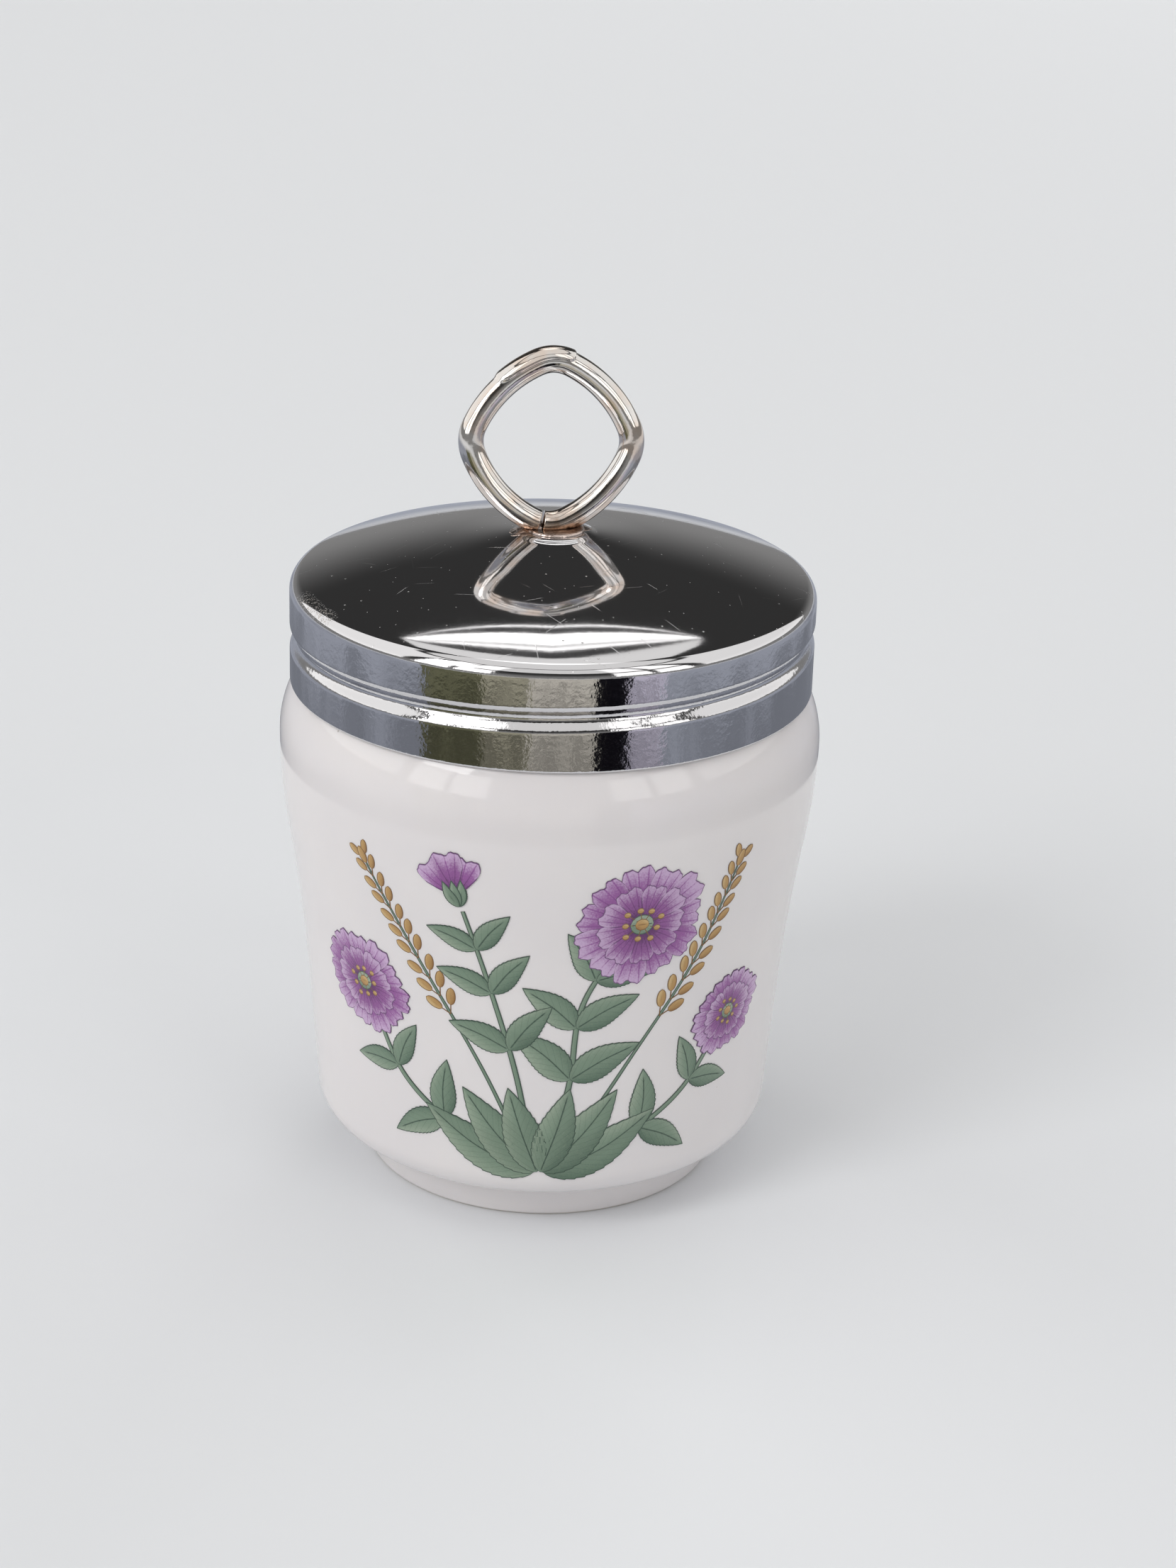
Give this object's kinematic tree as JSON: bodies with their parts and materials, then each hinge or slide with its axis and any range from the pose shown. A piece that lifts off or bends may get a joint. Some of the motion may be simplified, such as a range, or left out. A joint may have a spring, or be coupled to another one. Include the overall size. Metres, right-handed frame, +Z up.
{
  "type": "egg coddler",
  "caption": "Porcelain egg coddler: a glazed pot with a threaded neck, closed by a chromed screw lid that carries a wire lifting loop.",
  "frame": {"origin": "on the pot's axis, in the plane that the foot ring stands on", "axes": "+Z up along the pot's axis; the lifting loop stands over the XZ plane with the lid screwed home, turned 9 degrees from it and leaning 8 degrees back, as it was brazed; -Y is the front, the side the picture shows"},
  "size_m": [0.0654, 0.0654, 0.1023],
  "materials": {
    "porcelain": "white glossy glaze",
    "chrome_sheet": "mirror bright, lightly scratched",
    "plated_wire": "bright plated wire",
    "braze": "dull filler metal under thin plating"
  },
  "bodies": {
    "pot": {"pot": "porcelain"},
    "lid_riser": {"loop_braze": "braze"},
    "lid": {"lid_shell": "chrome_sheet", "lifting_loop": "plated_wire"}
  },
  "joints": [
    {"name": "lid_rise", "type": "slide", "parent": "pot", "child": "lid_riser", "axis": [0, 0, 1], "range_m": [0, 0.018]},
    {"name": "lid_turn", "type": "hinge", "parent": "lid_riser", "child": "lid", "pos_m": [0, 0, 0.0684], "axis": [0, 0, 1], "range_deg": [0, 1800]}
  ],
  "couplings": [
    {"joint": "lid_rise", "follows": "lid_turn", "m_per_rad": 0.00057296}
  ]
}
